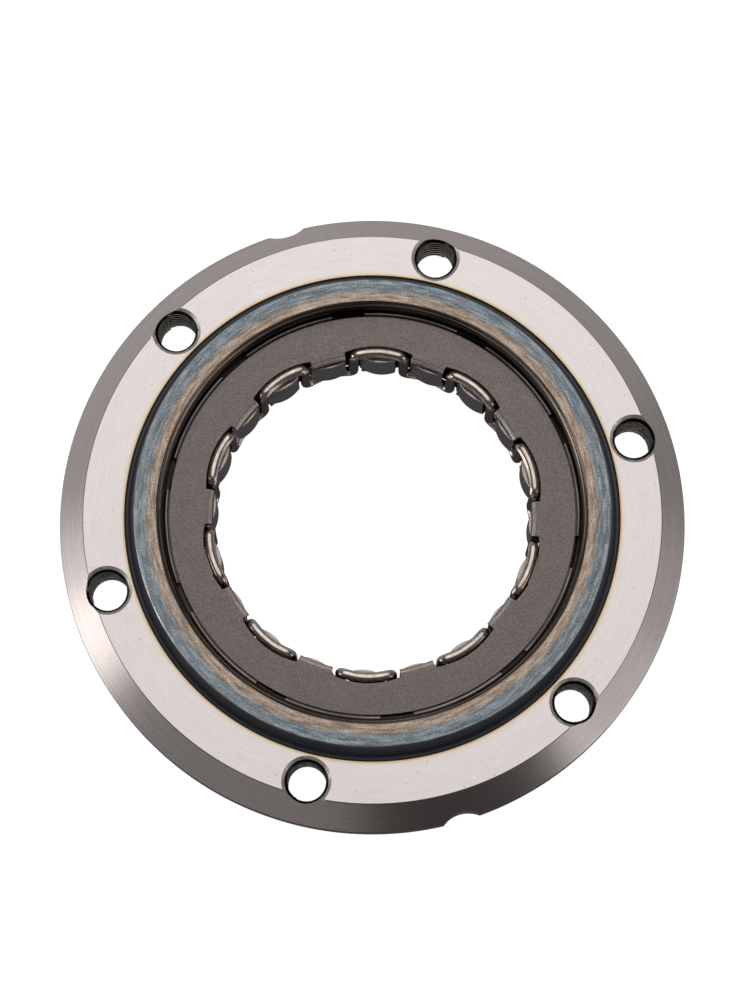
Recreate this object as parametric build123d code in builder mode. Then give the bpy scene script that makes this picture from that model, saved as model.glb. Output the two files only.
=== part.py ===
"""A sprag clutch: a flanged outer race, a cage of two rings, a wire spring and twenty sprags.

All sizes are in millimetres. The clutch stands on its back face, with Z along its axis and the
front of the cage facing up.
"""

import math
import os

from build123d import *

# Driving sizes
TRACK_RADIUS = 37.215
SPRAG_SPACE = 8.335
SPRAG_COUNT = 20
SPRAG_LENGTH = 8.8
FLANGE_THICKNESS = 11.3
HUB_HEIGHT = 4.35
BOLT_COUNT = 6
SHEET = 0.6

# Clearances between the pieces
RUNNING_GAP = 0.07
CAGE_GAP = 0.15
SEAT_GAP = 0.05
NOTCH_GAP = 0.12
LEG_GAP = 0.2

# Housing, from the track outwards: the width of each step, and the radii that they add up to
COUNTERBORE_STEP = 1.1
MOUTH_WIDTH = 1.0
HUB_WIDTH = 4.235
HUB_TAPER = 1.05
RELIEF_WIDTH = 1.05
FACE_WIDTH = 7.6
CONE_WIDTH = 4.75
COUNTERBORE_RADIUS = TRACK_RADIUS + COUNTERBORE_STEP
HUB_MOUTH_RADIUS = COUNTERBORE_RADIUS + MOUTH_WIDTH
HUB_TOP_RADIUS = HUB_MOUTH_RADIUS + HUB_WIDTH
HUB_FOOT_RADIUS = HUB_TOP_RADIUS + HUB_TAPER
FACE_INNER_RADIUS = HUB_FOOT_RADIUS + RELIEF_WIDTH
FACE_OUTER_RADIUS = FACE_INNER_RADIUS + FACE_WIDTH
FLANGE_RADIUS = FACE_OUTER_RADIUS + CONE_WIDTH
RIM_TOP_Z = 6.3
BACK_CHAMFER = 2.5
MOUTH_DEPTH = 1.15
TRACK_CHAMFER = 0.6
RELIEF_DEPTH = 0.5
RELIEF_SLOPE = 0.3

# Tapped holes, whose countersinks just break into the cone, and the rim's two scallops
BOLT_INSET = 2.75
BOLT_CIRCLE_RADIUS = FACE_OUTER_RADIUS - BOLT_INSET
BOLT_ANGLE = 16.4
TAP_RADIUS = 3.5
TAP_MOUTH_RADIUS = 4.55
TAP_MOUTH_ANGLE = 90
SCALLOP_ANGLE = BOLT_ANGLE + 90
SCALLOP_RADIUS = 5.2
SCALLOP_DEPTH = 1.4

# Cage, whose first wire loop stands at CAGE_ANGLE
CAGE_ANGLE = 15.8
SPRAG_PITCH = 360 / SPRAG_COUNT
LOOP_COUNT = SPRAG_COUNT // 2
LOOP_PITCH = 2 * SPRAG_PITCH
RACE_RADIUS = TRACK_RADIUS - SPRAG_SPACE
WALL_GAP = 0.3
WALL_OUTER_RADIUS = TRACK_RADIUS - WALL_GAP
WALL_THICKNESS = 0.8
WALL_INNER_RADIUS = WALL_OUTER_RADIUS - WALL_THICKNESS
BEAD_OUTER_RADIUS = COUNTERBORE_RADIUS - CAGE_GAP
BEAD_INNER_RADIUS = BEAD_OUTER_RADIUS - SHEET
BEAD_GAP_WIDTH = 6.1
BEAD_PROUD = 0.15
PLATE_OUTER_RADIUS = BEAD_INNER_RADIUS - SEAT_GAP
PLATE_THICKNESS = 0.8
WINDOW_WIDTH = 6.9
TAB_SPAN = 12.2
TAB_SETBACK = 0.37
TAB_FACE_RADIUS = RACE_RADIUS + TAB_SETBACK
TAB_BEND = 1.15
REAR_LIP_REACH = 1.3
REAR_TAB_SETBACK = 0.92
REAR_TAB_RADIUS = RACE_RADIUS + REAR_TAB_SETBACK

# Heights, from the back face up: lip, rear ring, sprags, flange and front ring
BACK_GAP = 0.4
REAR_LIP_TOP_Z = BACK_GAP + SHEET - SEAT_GAP
REAR_PLATE_Z = REAR_LIP_TOP_Z + SEAT_GAP
REAR_PLATE_TOP_Z = REAR_PLATE_Z + PLATE_THICKNESS
SPRAG_BASE_Z = REAR_PLATE_TOP_Z + 2 * CAGE_GAP
SPRAG_TOP_Z = SPRAG_BASE_Z + SPRAG_LENGTH
COUNTERBORE_Z = SPRAG_TOP_Z
FLANGE_BASE_Z = COUNTERBORE_Z + SEAT_GAP
FLANGE_TOP_Z = FLANGE_BASE_Z + SHEET
PLATE_BASE_Z = FLANGE_TOP_Z + SEAT_GAP
PLATE_TOP_Z = PLATE_BASE_Z + PLATE_THICKNESS
HUB_TOP_Z = FLANGE_THICKNESS + HUB_HEIGHT

# Wire spring, whose round section is drawn with few sides
WIRE_RADIUS = 0.95
WIRE_SIDES = 8
LOOP_SETBACK = 1.57
LOOP_MIDDLE_RADIUS = RACE_RADIUS + LOOP_SETBACK
LOOP_BOW_RADIUS = 14.0
BOW_CENTRE_RADIUS = LOOP_MIDDLE_RADIUS - LOOP_BOW_RADIUS
WIRE_BEND_RADIUS = 1.2
FRONT_LOOP_Z = SPRAG_TOP_Z + CAGE_GAP + WIRE_RADIUS
REAR_LOOP_Z = SPRAG_BASE_Z - CAGE_GAP - WIRE_RADIUS

# Notches of the two rings, bowed like the loops that lie in them
NOTCH_BOW_RADIUS = LOOP_BOW_RADIUS + WIRE_RADIUS + NOTCH_GAP
NOTCH_MIDDLE_RADIUS = BOW_CENTRE_RADIUS + NOTCH_BOW_RADIUS
NOTCH_HALF_SPAN = (LOOP_PITCH - TAB_SPAN) / 2

# Sprag section: an outer and an inner cam face, with centres set apart by CAM_OFFSET. The inner
# head fills the room between two legs of the wire, less the way that its trailing side swings
OUTER_CAM_RADIUS = 4.4
INNER_CAM_RADIUS = 7.0
CAM_OFFSET = 0.95
OUTER_HEAD_REACH = 2.85
INNER_LEAD_REACH = LOOP_MIDDLE_RADIUS * math.sin(math.radians(SPRAG_PITCH / 2)) - WIRE_RADIUS - LEG_GAP
SWING_ROOM = 0.45
INNER_TRAIL_REACH = INNER_LEAD_REACH - SWING_ROOM
WAIST_DEPTH = 0.7
FREE_REACH = 0.06
OUTER_CAM_CENTRE = TRACK_RADIUS - RUNNING_GAP - OUTER_CAM_RADIUS
INNER_CAM_CENTRE = RACE_RADIUS - FREE_REACH + INNER_CAM_RADIUS


def turned(angle, radius, height):
    """Return the point at a polar angle in degrees, a radius and a height."""
    return Vector(radius * math.cos(math.radians(angle)), radius * math.sin(math.radians(angle)), height)


def draw_ring_opening(first_loop_angle, tab_radius):
    """Draw a ring's opening: ten arcs round the wire's loops and the ten tab ends between them."""
    half_span = math.radians(NOTCH_HALF_SPAN)
    corner_drop = BOW_CENTRE_RADIUS * math.sin(half_span)
    corner_radius = BOW_CENTRE_RADIUS * math.cos(half_span) + math.sqrt(NOTCH_BOW_RADIUS**2 - corner_drop**2)
    for loop in range(LOOP_COUNT):
        middle = first_loop_angle + loop * LOOP_PITCH
        notch_start = middle - NOTCH_HALF_SPAN
        notch_end = middle + NOTCH_HALF_SPAN
        tab_end = notch_start + LOOP_PITCH
        ThreePointArc(
            turned(notch_start, corner_radius, 0),
            turned(middle, NOTCH_MIDDLE_RADIUS, 0),
            turned(notch_end, corner_radius, 0),
        )
        Line(turned(notch_end, corner_radius, 0), turned(notch_end, tab_radius, 0))
        ThreePointArc(
            turned(notch_end, tab_radius, 0),
            turned(middle + SPRAG_PITCH, tab_radius, 0),
            turned(tab_end, tab_radius, 0),
        )
        Line(turned(tab_end, tab_radius, 0), turned(tab_end, corner_radius, 0))


def rise(reach, radius):
    """Return the angle in degrees at which an arc of a radius has climbed by a reach."""
    return math.degrees(math.asin(reach / radius))


# Housing: the half section is turned about the axis, then drilled and scalloped
with BuildPart() as housing:
    with BuildSketch(Plane.XZ):
        with BuildLine():
            Polyline(
                (FACE_INNER_RADIUS, FLANGE_THICKNESS),
                (FACE_OUTER_RADIUS, FLANGE_THICKNESS),
                (FLANGE_RADIUS, RIM_TOP_Z),
                (FLANGE_RADIUS, BACK_CHAMFER),
                (FLANGE_RADIUS - BACK_CHAMFER, 0),
                (TRACK_RADIUS + TRACK_CHAMFER, 0),
                (TRACK_RADIUS, TRACK_CHAMFER),
                (TRACK_RADIUS, COUNTERBORE_Z),
                (COUNTERBORE_RADIUS, COUNTERBORE_Z),
                (COUNTERBORE_RADIUS, HUB_TOP_Z - MOUTH_DEPTH),
                (HUB_MOUTH_RADIUS, HUB_TOP_Z),
                (HUB_TOP_RADIUS, HUB_TOP_Z),
                (HUB_FOOT_RADIUS, FLANGE_THICKNESS),
                (HUB_FOOT_RADIUS + RELIEF_SLOPE, FLANGE_THICKNESS - RELIEF_DEPTH),
                (FACE_INNER_RADIUS - RELIEF_SLOPE, FLANGE_THICKNESS - RELIEF_DEPTH),
                (FACE_INNER_RADIUS, FLANGE_THICKNESS),
            )
        make_face()
    revolve(axis=Axis.Z)
    with Locations(Plane.XY.offset(FLANGE_THICKNESS)):
        with PolarLocations(BOLT_CIRCLE_RADIUS, BOLT_COUNT, start_angle=BOLT_ANGLE):
            CounterSinkHole(TAP_RADIUS, TAP_MOUTH_RADIUS, FLANGE_THICKNESS, TAP_MOUTH_ANGLE)
    scallop_centre = FLANGE_RADIUS - SCALLOP_DEPTH + SCALLOP_RADIUS
    with PolarLocations(scallop_centre, 2, start_angle=SCALLOP_ANGLE):
        Cylinder(
            SCALLOP_RADIUS,
            FLANGE_THICKNESS,
            align=(Align.CENTER, Align.CENTER, Align.MIN),
            mode=Mode.SUBTRACT,
        )
housing.part.label = "housing"

# Outer cage: a drawn wall with a flange and a bead at the front, a spun lip at the rear
with BuildPart() as cage_outer:
    with BuildSketch(Plane.XZ):
        with BuildLine():
            Polyline(
                (BEAD_INNER_RADIUS, PLATE_TOP_Z + BEAD_PROUD),
                (BEAD_INNER_RADIUS, FLANGE_TOP_Z),
                (WALL_INNER_RADIUS, FLANGE_TOP_Z),
                (WALL_INNER_RADIUS, REAR_LIP_TOP_Z),
                (WALL_INNER_RADIUS - REAR_LIP_REACH, REAR_LIP_TOP_Z),
                (WALL_INNER_RADIUS - REAR_LIP_REACH, BACK_GAP),
                (WALL_OUTER_RADIUS, BACK_GAP),
                (WALL_OUTER_RADIUS, FLANGE_BASE_Z),
                (BEAD_OUTER_RADIUS, FLANGE_BASE_Z),
                (BEAD_OUTER_RADIUS, PLATE_TOP_Z + BEAD_PROUD),
                close=True,
            )
        make_face()
    revolve(axis=Axis.Z)
    bead_depth = COUNTERBORE_RADIUS - WALL_OUTER_RADIUS
    bead_gap_middle = (COUNTERBORE_RADIUS + WALL_OUTER_RADIUS) / 2
    with Locations((0, 0, FLANGE_BASE_Z)):
        with PolarLocations(bead_gap_middle, LOOP_COUNT, start_angle=CAGE_ANGLE + SPRAG_PITCH / 2):
            Box(
                bead_depth,
                BEAD_GAP_WIDTH,
                HUB_HEIGHT,
                align=(Align.CENTER, Align.CENTER, Align.MIN),
                mode=Mode.SUBTRACT,
            )
    wall_middle = (WALL_OUTER_RADIUS + WALL_INNER_RADIUS) / 2
    with Locations((0, 0, SPRAG_BASE_Z - CAGE_GAP)):
        with PolarLocations(wall_middle, SPRAG_COUNT, start_angle=CAGE_ANGLE):
            Box(
                3 * WALL_THICKNESS,
                WINDOW_WIDTH,
                SPRAG_LENGTH + 2 * CAGE_GAP,
                align=(Align.CENTER, Align.CENTER, Align.MIN),
                mode=Mode.SUBTRACT,
            )
cage_outer.part.label = "cage_outer"

# Front ring: flat, with ten tabs turned down over every second sprag
with BuildPart() as cage_front:
    bend_start_radius = TAB_FACE_RADIUS + TAB_BEND
    with BuildSketch(Plane.XY.offset(PLATE_BASE_Z)):
        Circle(PLATE_OUTER_RADIUS)
        with BuildLine():
            draw_ring_opening(CAGE_ANGLE, bend_start_radius)
        make_face(mode=Mode.SUBTRACT)
    extrude(amount=PLATE_THICKNESS)
    tab_edge_z = SPRAG_TOP_Z + CAGE_GAP
    tab_back_radius = TAB_FACE_RADIUS + PLATE_THICKNESS
    bend_foot_z = PLATE_TOP_Z - TAB_BEND
    bend_corner = TAB_BEND * (1 - math.cos(math.radians(45)))
    for tab in range(LOOP_COUNT):
        tab_start = CAGE_ANGLE + SPRAG_PITCH - TAB_SPAN / 2 + tab * LOOP_PITCH
        tab_plane = Plane(origin=(0, 0, 0), x_dir=turned(tab_start, 1, 0), z_dir=turned(tab_start - 90, 1, 0))
        with BuildSketch(tab_plane):
            with BuildLine():
                Polyline(
                    (TAB_FACE_RADIUS, bend_foot_z),
                    (TAB_FACE_RADIUS, tab_edge_z),
                    (tab_back_radius, tab_edge_z),
                    (tab_back_radius, bend_foot_z),
                    (bend_start_radius, PLATE_BASE_Z),
                    (NOTCH_MIDDLE_RADIUS, PLATE_BASE_Z),
                    (NOTCH_MIDDLE_RADIUS, PLATE_TOP_Z),
                    (bend_start_radius, PLATE_TOP_Z),
                    (TAB_FACE_RADIUS + bend_corner, PLATE_TOP_Z - bend_corner),
                    close=True,
                )
            make_face()
        revolve(axis=Axis.Z, revolution_arc=TAB_SPAN)
cage_front.part.label = "cage_front"

# Rear ring: flat, its tabs under the sprags that the front ring leaves to the wire
with BuildPart() as cage_rear:
    with BuildSketch(Plane.XY.offset(REAR_PLATE_Z)):
        Circle(WALL_INNER_RADIUS - SEAT_GAP)
        with BuildLine():
            draw_ring_opening(CAGE_ANGLE + SPRAG_PITCH, REAR_TAB_RADIUS)
        make_face(mode=Mode.SUBTRACT)
    extrude(amount=PLATE_THICKNESS)
cage_rear.part.label = "cage_rear"

# Wire spring: bowed loops in front of one sprag and behind the next, joined by straight legs
with BuildPart() as wire_spring:
    half_pitch = math.radians(SPRAG_PITCH / 2)
    bow_reach = math.hypot(LOOP_BOW_RADIUS, WIRE_BEND_RADIUS)
    bow_half_angle = (
        half_pitch
        + math.asin(BOW_CENTRE_RADIUS * math.sin(half_pitch) / bow_reach)
        - math.atan(WIRE_BEND_RADIUS / LOOP_BOW_RADIUS)
    )

    def loop_point(middle_angle, share, past_end, height):
        """Return a point of a loop: share runs from -1 to 1 along the bow, past_end goes on straight."""
        bow_angle = share * bow_half_angle
        onward = math.copysign(past_end, share)
        x = BOW_CENTRE_RADIUS + LOOP_BOW_RADIUS * math.cos(bow_angle) - onward * math.sin(bow_angle)
        y = LOOP_BOW_RADIUS * math.sin(bow_angle) + onward * math.cos(bow_angle)
        return Vector(x, y, height).rotate(Axis.Z, middle_angle)

    wire_points = []
    for number in range(SPRAG_COUNT):
        loop_angle = CAGE_ANGLE + number * SPRAG_PITCH
        in_front = number % 2 == 0
        loop_z = FRONT_LOOP_Z if in_front else REAR_LOOP_Z
        leg_z = loop_z - WIRE_BEND_RADIUS if in_front else loop_z + WIRE_BEND_RADIUS
        wire_points.append(loop_point(loop_angle, -1, WIRE_BEND_RADIUS, leg_z))
        for share in (-1, -1 / 3, 1 / 3, 1):
            wire_points.append(loop_point(loop_angle, share, 0, loop_z))
        wire_points.append(loop_point(loop_angle, 1, WIRE_BEND_RADIUS, leg_z))
    leg_middle = (wire_points[0] + wire_points[-1]) / 2
    with BuildLine() as wire_path:
        Polyline(leg_middle, *wire_points, leg_middle)
    with BuildSketch(Plane(origin=leg_middle, x_dir=turned(CAGE_ANGLE, 1, 0), z_dir=(0, 0, 1))):
        RegularPolygon(WIRE_RADIUS, WIRE_SIDES)
    sweep(path=wire_path.wire(), transition=Transition.RIGHT)
wire_spring.part.label = "wire_spring"

os.makedirs("parts", exist_ok=True)
for piece in (housing, cage_outer, cage_front, cage_rear, wire_spring):
    export_step(piece.part, f"parts/{piece.part.label}.step")

# Sprags: one section on twenty planes round the axis
outer_trail = rise(OUTER_HEAD_REACH + CAM_OFFSET / 2, OUTER_CAM_RADIUS)
outer_lead = rise(OUTER_HEAD_REACH - CAM_OFFSET / 2, OUTER_CAM_RADIUS)
inner_lead = rise(INNER_LEAD_REACH + CAM_OFFSET / 2, INNER_CAM_RADIUS)
inner_trail = rise(INNER_TRAIL_REACH - CAM_OFFSET / 2, INNER_CAM_RADIUS)
for number in range(SPRAG_COUNT):
    sprag_x_direction = turned(CAGE_ANGLE + number * SPRAG_PITCH, 1, 0)
    with BuildPart() as sprag:
        with BuildSketch(Plane(origin=(0, 0, SPRAG_BASE_Z), x_dir=sprag_x_direction, z_dir=(0, 0, 1))):
            with BuildLine():
                outer_face = CenterArc(
                    (OUTER_CAM_CENTRE, CAM_OFFSET / 2),
                    OUTER_CAM_RADIUS,
                    -outer_trail,
                    outer_trail + outer_lead,
                )
                inner_face = CenterArc(
                    (INNER_CAM_CENTRE, -CAM_OFFSET / 2),
                    INNER_CAM_RADIUS,
                    180 - inner_lead,
                    inner_lead + inner_trail,
                )
                for start, end, side in (
                    (outer_face @ 1, inner_face @ 0, -1),
                    (inner_face @ 1, outer_face @ 0, 1),
                ):
                    middle = (start + end) / 2
                    ThreePointArc(start, (middle.X, middle.Y + side * WAIST_DEPTH), end)
            make_face()
        extrude(amount=SPRAG_LENGTH)
    sprag.part.label = f"sprag_{number + 1:02d}"
    export_step(sprag.part, f"parts/{sprag.part.label}.step")
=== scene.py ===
"""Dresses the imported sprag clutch: turned and tempered steel, phosphated sheet, bright wire.

The clutch lies on its back face with its axis on Z. Sizes in the classes are millimetres.
"""

import logging
import math
from collections.abc import Callable, Sequence
from dataclasses import dataclass
from enum import IntEnum

import bmesh
import bpy
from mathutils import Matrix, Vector


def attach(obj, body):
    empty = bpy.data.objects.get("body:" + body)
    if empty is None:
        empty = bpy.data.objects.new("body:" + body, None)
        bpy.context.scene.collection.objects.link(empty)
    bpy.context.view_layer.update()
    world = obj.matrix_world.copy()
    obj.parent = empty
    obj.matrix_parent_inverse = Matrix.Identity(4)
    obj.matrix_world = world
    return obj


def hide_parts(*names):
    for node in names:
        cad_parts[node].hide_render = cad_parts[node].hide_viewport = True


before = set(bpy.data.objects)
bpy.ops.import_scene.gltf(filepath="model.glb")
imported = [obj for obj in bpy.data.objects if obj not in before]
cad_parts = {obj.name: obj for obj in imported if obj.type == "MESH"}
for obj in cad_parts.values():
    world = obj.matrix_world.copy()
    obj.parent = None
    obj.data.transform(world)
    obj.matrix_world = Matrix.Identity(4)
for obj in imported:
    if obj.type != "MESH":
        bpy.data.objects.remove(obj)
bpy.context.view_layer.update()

LOG = logging.getLogger("sprag_clutch")
Material = bpy.types.Material
Piece = bpy.types.Object
Point = tuple[float, float]
Socket = bpy.types.NodeSocket
Stops = Sequence[tuple[float, str]]
Tree = bpy.types.NodeTree

# Shared by several classes: angles in degrees, lengths in millimetres
FULL_TURN = 360.0
RING_STEPS = 360
ROUND_SEGMENTS = 3
FINE_WELD = 0.0005
FIRST_LOOP_ANGLE = 15.8
LOOP_COUNT = 10
SPRAG_COUNT = 2 * LOOP_COUNT


class HousingPart(IntEnum):
    """The housing's differently finished parts, in the order of its material slots."""

    FACE = 0
    TURNED = 1
    HUB_WALL = 2
    HUB_TOP = 3
    MOUTH = 4
    COUNTERSINK = 5
    HOLE = 6


class ThreadPart(IntEnum):
    """A thread's two finishes, in slot order."""

    FLANK = 0
    CREST = 1


class SheetPart(IntEnum):
    """The cage's three finishes, in slot order."""

    PLAIN = 0
    BEND = 1
    BEAD = 2


class WirePart(IntEnum):
    """The wire's two finishes, in slot order."""

    LOOP = 0
    LEG = 1


class SpragPart(IntEnum):
    """A sprag's three finishes, in slot order."""

    SIDE = 0
    END = 1
    EDGE = 2


# Small helpers for units, colours and nodes


def mm(value: float) -> float:
    """Return millimetres as metres."""
    return value * 0.001


def to_mm(length: float) -> float:
    """Return metres as millimetres."""
    return length * 1000


def linear(hex_colour: str) -> tuple[float, float, float, float]:
    """Turn an sRGB hex colour into linear light, by the standard's own curve.

    Args:
        hex_colour: six hex digits, such as "8a8280".

    Returns:
        Red, green, blue and an alpha of one.
    """
    channels = []
    for start in (0, 2, 4):
        value = int(hex_colour[start : start + 2], 16) / 255
        channels.append(value / 12.92 if value <= 0.04045 else ((value + 0.055) / 1.055) ** 2.4)
    return (channels[0], channels[1], channels[2], 1.0)


def on_circle(radius: float, angle: float, height: float = 0.0) -> Vector:
    """Return a point in metres from a radius and height in millimetres and an angle in degrees."""
    turn = math.radians(angle)
    return Vector((mm(radius) * math.cos(turn), mm(radius) * math.sin(turn), mm(height)))


def add_node(
    tree: Tree, kind: str, links: dict | None = None, stops: Stops = (), **settings: object
) -> bpy.types.Node:
    """Add a node, set it and wire its inputs.

    Args:
        tree: the node tree to add to.
        kind: the node's type name, without the ShaderNode in front.
        links: input name or number, to a socket or to a plain value.
        stops: position and hex colour of each stop, for a colour ramp.
        settings: attributes of the node itself.

    Returns:
        The new node.
    """
    node = tree.nodes.new(f"ShaderNode{kind}")
    for name, value in settings.items():
        setattr(node, name, value)
    for name, value in (links or {}).items():
        if isinstance(value, Socket):
            tree.links.new(value, node.inputs[name])
        else:
            node.inputs[name].default_value = value
    if stops:
        elements = node.color_ramp.elements
        while len(elements) < len(stops):
            elements.new(1.0)
        for element, (position, colour) in zip(elements, stops):
            element.position = position
            element.color = linear(colour)
    return node


# Modelling helpers: each is one step of work by hand in edit mode


def deselect() -> None:
    """Leave edit mode and deselect everything."""
    if bpy.context.object is not None and bpy.context.object.mode == "EDIT":
        bpy.ops.object.mode_set(mode="OBJECT")
    bpy.ops.object.select_all(action="DESELECT")


def select_only(*pieces: Piece) -> None:
    """Leave edit mode, select some objects and make the first one active.

    Args:
        pieces: the objects.
    """
    deselect()
    for piece in pieces:
        piece.select_set(True)
    bpy.context.view_layer.objects.active = pieces[0]


def draw_outline(name: str, points: Sequence[Vector]) -> Piece:
    """Draw a closed outline by extruding one vertex from point to point.

    Args:
        name: the piece's name.
        points: the outline's corners in order, in metres.

    Returns:
        The object, in edit mode with its outline selected and its origin at the frame's.
    """
    deselect()
    bpy.ops.mesh.primitive_plane_add(size=mm(1), location=points[0])
    piece = bpy.context.object
    piece.name = piece.data.name = name
    bpy.ops.object.transform_apply(location=True)
    bpy.ops.object.mode_set(mode="EDIT")
    bpy.ops.mesh.select_mode(type="VERT")
    bpy.ops.mesh.select_all(action="SELECT")
    bpy.ops.mesh.merge(type="CENTER")
    for before, after in zip(points, points[1:]):
        bpy.ops.mesh.extrude_vertices_move(TRANSFORM_OT_translate={"value": after - before})
    shape = bmesh.from_edit_mesh(piece.data)
    shape.verts.ensure_lookup_table()
    shape.verts[0].select = True
    bmesh.update_edit_mesh(piece.data)
    bpy.ops.mesh.edge_face_add()
    bpy.ops.mesh.select_all(action="SELECT")
    return piece


def section(points: Sequence[Point], angle: float = 0.0) -> list[Vector]:
    """Stand a half section, given as radius and height in millimetres, at an angle in degrees."""
    return [on_circle(radius, angle, height) for radius, height in points]


def arc(
    centre: Point, radius: float, start: float, end: float, steps: int, rise: float | None = None
) -> list[Point]:
    """Return points along an arc of a circle or of a flattened one.

    Args:
        centre: the arc's centre.
        radius: its radius.
        start: its first angle in degrees.
        end: its last angle in degrees.
        steps: how many straight runs it is divided into.
        rise: its radius along the second axis, where that is another one.

    Returns:
        One more point than steps.
    """
    points = []
    for step in range(steps + 1):
        angle = math.radians(start + (end - start) * step / steps)
        up = (radius if rise is None else rise) * math.sin(angle)
        points.append((centre[0] + radius * math.cos(angle), centre[1] + up))
    return points


def spin(angle: float, steps: int, centre: Vector = Vector(), axis: Vector = Vector((0, 0, 1))) -> None:
    """Spin the selection, counter-clockwise as seen against the axis.

    Args:
        angle: the turn in degrees.
        steps: the number of steps.
        centre: a point on the axis.
        axis: the axis's direction.
    """
    bpy.ops.mesh.spin(steps=steps, angle=-math.radians(angle), center=centre, axis=axis)


def turn_selection(angle: float) -> None:
    """Turn the selection about the clutch's axis, counter-clockwise by an angle in degrees."""
    bpy.ops.transform.rotate(value=-math.radians(angle), orient_axis="Z", center_override=Vector())


def weld(distance: float = 0.002) -> None:
    """Merge the doubled vertices of the whole mesh and point its faces outwards.

    Args:
        distance: how near doubled vertices lie, in millimetres.
    """
    bpy.ops.mesh.select_all(action="SELECT")
    bpy.ops.mesh.remove_doubles(threshold=mm(distance))
    bpy.ops.mesh.normals_make_consistent(inside=False)


def repeat_around(count: int) -> None:
    """Copy the whole mesh around the clutch's axis, evenly spaced.

    Args:
        count: how many of it there are in the end.
    """
    bpy.ops.mesh.select_all(action="SELECT")
    for _ in range(count - 1):
        bpy.ops.mesh.duplicate()
        turn_selection(FULL_TURN / count)
    weld()


def pick_edges(piece: Piece, test: Callable[[bmesh.types.BMEdge], bool]) -> None:
    """Select some edges, in edit mode, and nothing else.

    Args:
        piece: the mesh object.
        test: tells whether an edge is one of them.
    """
    bpy.ops.mesh.select_all(action="DESELECT")
    bpy.ops.mesh.select_mode(type="EDGE")
    shape = bmesh.from_edit_mesh(piece.data)
    for edge in shape.edges:
        edge.select = test(edge)
    bmesh.update_edit_mesh(piece.data)


def round_edges(radius: float, **settings: object) -> None:
    """Round the selected edges, by a radius in millimetres."""
    bpy.ops.mesh.bevel(offset=mm(radius), segments=ROUND_SEGMENTS, affect="EDGES", **settings)


def apply_modifier(piece: Piece, kind: str, **settings: object) -> None:
    """Add a modifier to a piece, set it and apply it.

    Args:
        piece: the mesh object.
        kind: the modifier's type.
        settings: the modifier's attributes.
    """
    select_only(piece)
    modifier = piece.modifiers.new(kind.title(), kind)
    for name, value in settings.items():
        setattr(modifier, name, value)
    bpy.ops.object.modifier_apply(modifier=modifier.name)


def finish_mesh(piece: Piece, smooth_angle: float = 30.0) -> None:
    """Leave edit mode and smooth the piece, with large flat faces keeping their own direction.

    Args:
        piece: the mesh object.
        smooth_angle: the angle in degrees under which two faces are smooth.
    """
    select_only(piece)
    bpy.ops.object.shade_smooth_by_angle(angle=math.radians(smooth_angle))
    apply_modifier(piece, "WEIGHTED_NORMAL", keep_sharp=True)


def cut(piece: Piece, cutter: Piece) -> None:
    """Cut a piece with a second object, which is deleted."""
    apply_modifier(piece, "BOOLEAN", object=cutter, operation="DIFFERENCE", solver="EXACT")
    bpy.data.objects.remove(cutter)


def dress(piece: Piece, finishes: Sequence[Material], choose: Callable[[Vector, Vector], IntEnum]) -> None:
    """Give each face of a piece one of several finishes.

    Args:
        piece: the mesh object.
        finishes: the materials, in slot order.
        choose: takes a face's centre and normal and returns the part that it belongs to.
    """
    for finish in finishes:
        piece.data.materials.append(finish)
    for face in piece.data.polygons:
        face.material_index = choose(face.center, face.normal)


# Finishes


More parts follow.
